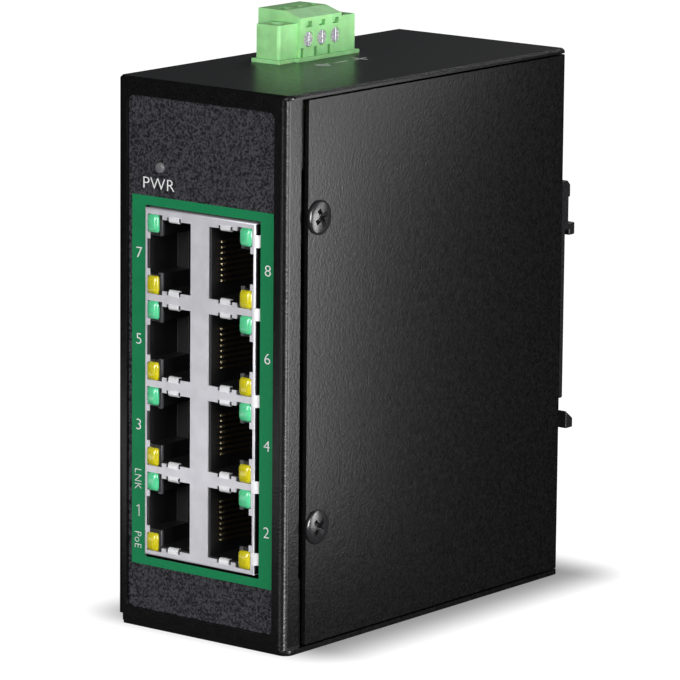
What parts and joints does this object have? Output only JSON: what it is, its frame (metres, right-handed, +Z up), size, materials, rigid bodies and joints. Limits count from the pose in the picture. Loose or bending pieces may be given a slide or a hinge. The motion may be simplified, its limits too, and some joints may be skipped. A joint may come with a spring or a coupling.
{
  "type": "din rail ethernet switch",
  "caption": "Slim black steel network switch for a rail, with ganged RJ45 ports in a green field, a plug-in screw terminal block on its roof and a spring-latched clip behind.",
  "frame": {"origin": "middle of the part's overall width and depth, side screws and rail clip included, at the face it stands on", "axes": "+Z up along the long side of the front, front face with the ports towards -Y, +X to the right as seen from the front"},
  "size_m": [0.0362, 0.0822, 0.098],
  "materials": {
    "black_steel": "black powder-coated sheet steel with a fine sandy texture",
    "black_screw": "black oxide steel screws with a cross recess",
    "front_overlay": "printed matt overlay, mottled dark grey with a green field round the ports",
    "light_pipe": "clear-grey moulded light pipe",
    "jack_plating": "satin nickel-plated thin sheet",
    "jack_plastic": "black glass-filled thermoplastic",
    "gold_contact": "gold-plated spring wire",
    "green_lens": "translucent green moulded lens",
    "yellow_lens": "translucent yellow moulded lens",
    "board_laminate": "green solder-masked glass laminate",
    "zinc_steel": "zinc-plated steel",
    "chip_epoxy": "black epoxy packages",
    "sink_aluminium": "bare extruded aluminium",
    "capacitor_can": "sleeved aluminium cans",
    "fuse_ceramic": "cream ceramic fuse body",
    "lamp_body": "white indicator lamp body",
    "terminal_green": "light green polyamide",
    "tinned_copper": "tin-plated copper alloy",
    "plated_screw": "bright zinc-plated slotted screws",
    "clip_black": "black finished rail clip",
    "spring_steel": "plain spring steel wire"
  },
  "bodies": {
    "housing": {"main_shell": "black_steel", "side_cover": "black_steel", "side_screws": "black_screw", "front_label": "front_overlay", "power_light_pipe": "light_pipe", "jack_shield": "jack_plating", "jack_housing": "jack_plastic", "jack_contacts": "gold_contact", "green_led_lenses": "green_lens", "yellow_led_lenses": "yellow_lens", "main_board": "board_laminate", "board_standoffs": "zinc_steel", "board_screws": "zinc_steel", "cover_nuts": "zinc_steel", "clip_nuts": "zinc_steel", "clip_screws": "zinc_steel", "switch_chip": "chip_epoxy", "poe_controllers": "chip_epoxy", "magnetics_modules": "chip_epoxy", "power_inductors": "chip_epoxy", "heat_sink": "sink_aluminium", "electrolytic_capacitors": "capacitor_can", "clock_crystal": "capacitor_can", "input_fuse": "fuse_ceramic", "power_led": "lamp_body", "terminal_header": "terminal_green", "header_pins": "tinned_copper", "din_clip_base": "clip_black", "latch_spring": "spring_steel"},
    "terminal_plug": {"plug_housing": "terminal_green", "plug_contacts": "tinned_copper"},
    "clamp_screw_1_body": {"clamp_screw_1": "plated_screw"},
    "clamp_cage_1_body": {"clamp_cage_1": "tinned_copper"},
    "clamp_screw_2_body": {"clamp_screw_2": "plated_screw"},
    "clamp_cage_2_body": {"clamp_cage_2": "tinned_copper"},
    "clamp_screw_3_body": {"clamp_screw_3": "plated_screw"},
    "clamp_cage_3_body": {"clamp_cage_3": "tinned_copper"},
    "flange_screw_near_body": {"flange_screw_near": "plated_screw"},
    "flange_screw_far_body": {"flange_screw_far": "plated_screw"},
    "rail_latch": {"din_clip_latch": "clip_black"}
  },
  "joints": [
    {"name": "terminal_plug_lift", "type": "slide", "parent": "housing", "child": "terminal_plug", "axis": [0, 0, 1], "range_m": [0, 0.012]},
    {"name": "clamp_screw_1_turn", "type": "hinge", "parent": "terminal_plug", "child": "clamp_screw_1_body", "pos_m": [-0.00915, -0.00795, 0.0934], "axis": [-1, 0, 0], "range_deg": [0, 900]},
    {"name": "clamp_cage_1_draw", "type": "slide", "parent": "terminal_plug", "child": "clamp_cage_1_body", "axis": [1, 0, 0], "range_m": [0, 0.001]},
    {"name": "clamp_screw_2_turn", "type": "hinge", "parent": "terminal_plug", "child": "clamp_screw_2_body", "pos_m": [-0.00915, -0.00445, 0.0934], "axis": [-1, 0, 0], "range_deg": [0, 900]},
    {"name": "clamp_cage_2_draw", "type": "slide", "parent": "terminal_plug", "child": "clamp_cage_2_body", "axis": [1, 0, 0], "range_m": [0, 0.001]},
    {"name": "clamp_screw_3_turn", "type": "hinge", "parent": "terminal_plug", "child": "clamp_screw_3_body", "pos_m": [-0.00915, -0.00095, 0.0934], "axis": [-1, 0, 0], "range_deg": [0, 900]},
    {"name": "clamp_cage_3_draw", "type": "slide", "parent": "terminal_plug", "child": "clamp_cage_3_body", "axis": [1, 0, 0], "range_m": [0, 0.001]},
    {"name": "flange_screw_near_turn", "type": "hinge", "parent": "terminal_plug", "child": "flange_screw_near_body", "pos_m": [-0.0087, -0.0125, 0.093], "axis": [0, 0, 1], "range_deg": [0, 3960]},
    {"name": "flange_screw_far_turn", "type": "hinge", "parent": "terminal_plug", "child": "flange_screw_far_body", "pos_m": [-0.0087, 0.0023, 0.093], "axis": [0, 0, 1], "range_deg": [0, 3960]},
    {"name": "rail_latch_slide", "type": "slide", "parent": "housing", "child": "rail_latch", "axis": [0, 0, -1], "range_m": [0, 0.004], "stiffness_N_per_m": 750, "springref_m": -0.004, "deforming": ["latch_spring"]}
  ],
  "couplings": [
    {"joint": "clamp_screw_1_turn", "follows": "clamp_cage_1_draw", "rad_per_m": 15708},
    {"joint": "clamp_screw_2_turn", "follows": "clamp_cage_2_draw", "rad_per_m": 15708},
    {"joint": "clamp_screw_3_turn", "follows": "clamp_cage_3_draw", "rad_per_m": 15708}
  ]
}
